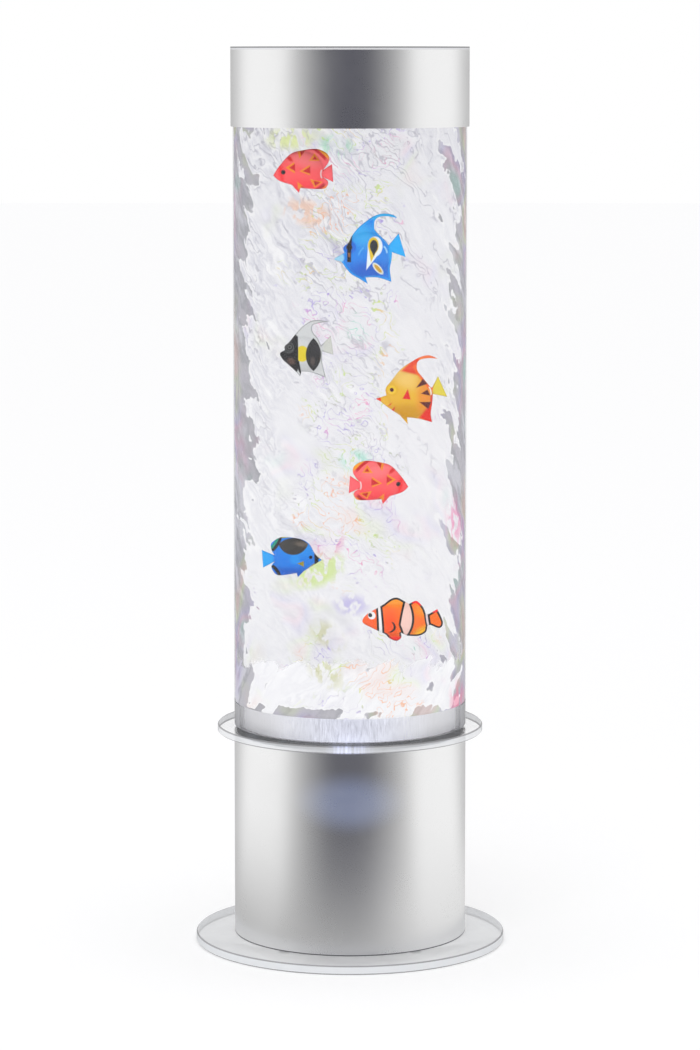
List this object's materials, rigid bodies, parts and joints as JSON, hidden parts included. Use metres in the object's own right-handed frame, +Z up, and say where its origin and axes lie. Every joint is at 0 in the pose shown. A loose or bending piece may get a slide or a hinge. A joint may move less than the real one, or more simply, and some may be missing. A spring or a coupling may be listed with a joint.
{
  "type": "bubble tube floor lamp",
  "caption": "Clear water tube lamp with floating toy fish on a round satin aluminium base with air pump, light ring and lift-off cap.",
  "frame": {"origin": "middle of the base plate's underside, on the floor", "axes": "+Z up the tube, -Y to the front that the picture shows, +Y to the rear panel, +X to the viewer's right"},
  "size_m": [0.2074, 0.2074, 0.6],
  "materials": {
    "clear_acrylic": "polished clear acrylic",
    "satin_aluminium": "fine satin, drawn round the axis",
    "cap_plate": "satin sheet",
    "silver_collar": "bright satin",
    "milky_acrylic": "milky, diffusing",
    "white_moulding": "moulded",
    "black_moulding": "moulded, fine texture",
    "push_button": "smooth",
    "steel_fastener": "plated",
    "pillar_metal": "turned bar",
    "circuit_board": "solder mask",
    "board_part": "moulded packages",
    "led_package": "white package with a clear lens",
    "rubber_part": "moulded",
    "clear_hose": "clear silicone",
    "porous_stone": "sintered, porous",
    "copper_winding": "enamelled wire",
    "iron_core": "laminated sheet",
    "lead_insulation": "sheathed wire",
    "red_fish": "glossy moulded",
    "blue_fish": "glossy moulded",
    "banded_fish": "glossy moulded, banded",
    "yellow_fish": "glossy moulded",
    "orange_fish": "glossy moulded, banded"
  },
  "bodies": {
    "lamp_body": {"air_stone": "porous_stone", "arm_pin": "steel_fastener", "base_plate": "clear_acrylic", "base_shell": "satin_aluminium", "base_tray": "black_moulding", "board_parts": "board_part", "board_screws": "steel_fastener", "chassis_screws": "steel_fastener", "check_flap": "rubber_part", "check_valve_inlet": "white_moulding", "check_valve_outlet": "white_moulding", "coil_core": "iron_core", "coil_winding": "copper_winding", "collar_ring": "silver_collar", "control_board": "circuit_board", "control_panel": "black_moulding", "deck_plate": "black_moulding", "diaphragm": "rubber_part", "diffuser_disc": "milky_acrylic", "fitting_nut": "white_moulding", "flange_disc": "clear_acrylic", "flange_screws": "steel_fastener", "floor_fitting": "white_moulding", "floor_washer": "rubber_part", "inlet_lead": "lead_insulation", "inlet_pin": "steel_fastener", "inlet_socket": "black_moulding", "led_board": "circuit_board", "led_lead": "lead_insulation", "leds": "led_package", "lower_hose": "clear_hose", "panel_screws": "steel_fastener", "pillars": "pillar_metal", "pump_case": "black_moulding", "pump_cover": "black_moulding", "pump_feet": "rubber_part", "pump_lead": "lead_insulation", "pump_screws": "steel_fastener", "switch_board": "circuit_board", "switch_lead": "lead_insulation", "tact_switches": "board_part", "tube_floor": "clear_acrylic", "upper_hose": "clear_hose", "valve_block": "white_moulding", "water_tube": "clear_acrylic"},
    "cap": {"cap_skirt": "satin_aluminium", "cap_lid": "cap_plate", "cap_liner": "white_moulding", "lid_screws": "steel_fastener"},
    "rocking_arm": {"pump_arm": "black_moulding", "arm_magnet": "iron_core"},
    "light_push": {"light_button": "push_button"},
    "bubble_push": {"bubble_button": "push_button"},
    "upper_red_swim": {"upper_red": "red_fish"},
    "blue_angel_swim": {"blue_angel": "blue_fish"},
    "banner_fish_swim": {"banner_fish": "banded_fish"},
    "yellow_angel_swim": {"yellow_angel": "yellow_fish"},
    "lower_red_swim": {"lower_red": "red_fish"},
    "blue_saddle_swim": {"blue_saddle": "blue_fish"},
    "clownfish_swim": {"clownfish": "orange_fish"}
  },
  "joints": [
    {"name": "cap_lift", "type": "slide", "parent": "lamp_body", "child": "cap", "axis": [0, 0, 1], "range_m": [0, 0.07]},
    {"name": "light_press", "type": "slide", "parent": "lamp_body", "child": "light_push", "axis": [0, -1, 0], "range_m": [0, 0.0015], "stiffness_N_per_m": 400},
    {"name": "bubble_press", "type": "slide", "parent": "lamp_body", "child": "bubble_push", "axis": [0, -1, 0], "range_m": [0, 0.0015], "stiffness_N_per_m": 400},
    {"name": "arm_rock", "type": "hinge", "parent": "lamp_body", "child": "rocking_arm", "pos_m": [-0.022, -0.008, 0.0385], "axis": [0, 1, 0], "range_deg": [-1.5, 1.5], "stiffness_Nm_per_rad": 1, "deforming": ["diaphragm"]},
    {"name": "upper_red_drift", "type": "slide", "parent": "lamp_body", "child": "upper_red_swim", "axis": [0, 0, 1], "range_m": [-0.3229, 0.0225]},
    {"name": "blue_angel_drift", "type": "slide", "parent": "lamp_body", "child": "blue_angel_swim", "axis": [0, 0, 1], "range_m": [-0.2641, 0.0641]},
    {"name": "banner_fish_drift", "type": "slide", "parent": "lamp_body", "child": "banner_fish_swim", "axis": [0, 0, 1], "range_m": [-0.1996, 0.1362]},
    {"name": "yellow_angel_drift", "type": "slide", "parent": "lamp_body", "child": "yellow_angel_swim", "axis": [0, 0, 1], "range_m": [-0.1682, 0.1598]},
    {"name": "lower_red_drift", "type": "slide", "parent": "lamp_body", "child": "lower_red_swim", "axis": [0, 0, 1], "range_m": [-0.118, 0.2274]},
    {"name": "blue_saddle_drift", "type": "slide", "parent": "lamp_body", "child": "blue_saddle_swim", "axis": [0, 0, 1], "range_m": [-0.068, 0.2792]},
    {"name": "clownfish_drift", "type": "slide", "parent": "lamp_body", "child": "clownfish_swim", "axis": [0, 0, 1], "range_m": [-0.0249, 0.3202]}
  ]
}
